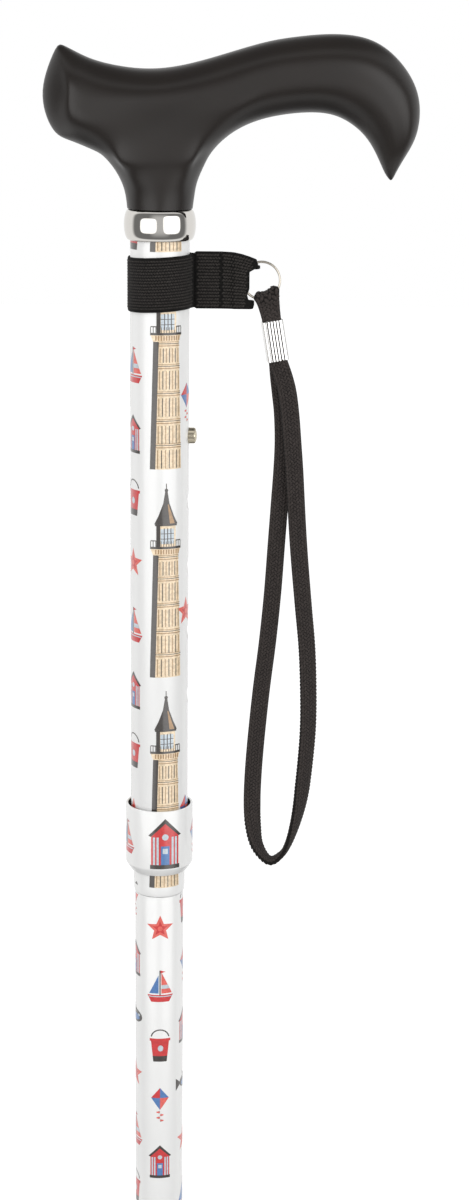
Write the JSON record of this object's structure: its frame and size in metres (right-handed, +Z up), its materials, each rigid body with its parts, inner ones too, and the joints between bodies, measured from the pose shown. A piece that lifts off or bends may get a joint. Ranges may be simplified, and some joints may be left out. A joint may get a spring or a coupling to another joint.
{
  "type": "folding walking stick",
  "caption": "Height-adjusting folding walking stick: derby handle, telescoping printed tubes with button and screw ring, plug-together lower sections, rubber foot, wrist loop on a split ring.",
  "frame": {"origin": "on the stick's axis, on top of the handle where the palm presses down", "axes": "+Z up along the stick, +X towards the handle's beak, -Y towards the front of the picture"},
  "size_m": [0.1381, 0.035, 0.8398],
  "materials": {
    "handle_black": "satin",
    "collar_chrome": "polished",
    "printed_white": "gloss",
    "steel": "satin",
    "sleeve_aluminium": "satin",
    "nylon": "matte",
    "ferrule_rubber": "matte",
    "elastic_black": "matte",
    "cord_black": "matte",
    "shock_cord": "matte"
  },
  "bodies": {
    "top_section": {"derby_handle": "handle_black", "handle_stud": "steel", "handle_collar": "collar_chrome", "tube_top_plug": "nylon", "tube_plug_pin": "steel", "outer_tube": "printed_white"},
    "inner_tube": {"inner_tube": "printed_white", "guide_bush": "nylon", "cord_anchor_top": "nylon", "cord_stop_top": "sleeve_aluminium", "shock_cord": "shock_cord"},
    "snap_button": {"snap_button_clip": "steel"},
    "locking_olive": {"locking_olive": "nylon"},
    "locking_ring": {"locking_ring": "printed_white"},
    "section_1": {"section_tube_1": "printed_white", "joint_sleeve_1": "sleeve_aluminium"},
    "section_2": {"section_tube_2": "printed_white", "joint_sleeve_2": "sleeve_aluminium"},
    "section_3": {"section_tube_3": "printed_white", "joint_sleeve_3": "sleeve_aluminium", "cord_anchor_bottom": "nylon", "cord_stop_bottom": "sleeve_aluminium", "rubber_ferrule": "ferrule_rubber", "ferrule_washer": "steel"},
    "strap": {"strap_band": "elastic_black", "strap_tab": "elastic_black"},
    "split_ring": {"split_ring": "steel"},
    "wrist_loop": {"cord_eye": "cord_black", "cord_crimp": "steel", "wrist_cord": "cord_black"}
  },
  "joints": [
    {"name": "height_adjust", "type": "slide", "parent": "top_section", "child": "inner_tube", "axis": [0, 0, -1], "range_m": [0, 0.1016], "deforming": ["snap_button_clip"]},
    {"name": "button_press", "type": "slide", "parent": "inner_tube", "child": "snap_button", "axis": [-1, 0, 0], "range_m": [0, 0.004], "stiffness_N_per_m": 1000, "springref_m": -0.003, "deforming": ["snap_button_clip"]},
    {"name": "olive_draw", "type": "slide", "parent": "top_section", "child": "locking_olive", "axis": [0, 0, -1], "range_m": [0, 0.0015]},
    {"name": "lock_ring_turn", "type": "hinge", "parent": "locking_olive", "child": "locking_ring", "pos_m": [0, 0, -0.2947], "axis": [0, 0, 1], "range_deg": [0, 360]},
    {"name": "pull_1", "type": "slide", "parent": "inner_tube", "child": "section_1", "axis": [0, 0, -1], "range_m": [0, 0.045], "stiffness_N_per_m": 300, "springref_m": -0.05, "deforming": ["shock_cord"]},
    {"name": "pull_2", "type": "slide", "parent": "section_1", "child": "section_2", "axis": [0, 0, -1], "range_m": [0, 0.045], "stiffness_N_per_m": 300, "springref_m": -0.05, "deforming": ["shock_cord"]},
    {"name": "pull_3", "type": "slide", "parent": "section_2", "child": "section_3", "axis": [0, 0, -1], "range_m": [0, 0.045], "stiffness_N_per_m": 300, "springref_m": -0.05, "deforming": ["shock_cord"]},
    {"name": "strap_turn", "type": "hinge", "parent": "top_section", "child": "strap", "pos_m": [0, 0, -0.0776], "axis": [0, 0, 1], "continuous": true},
    {"name": "ring_turn", "type": "hinge", "parent": "strap", "child": "split_ring", "pos_m": [0.0378, 0, -0.07675], "axis": [0, -1, 0], "range_deg": [0, 90]},
    {"name": "cord_sway", "type": "hinge", "parent": "split_ring", "child": "wrist_loop", "pos_m": [0.04038, 0, -0.08315], "axis": [0.9863, 0, 0.165], "range_deg": [-75, 75], "deforming": ["cord_eye"]}
  ],
  "couplings": [
    {"joint": "lock_ring_turn", "follows": "olive_draw", "rad_per_m": 4188.8}
  ]
}
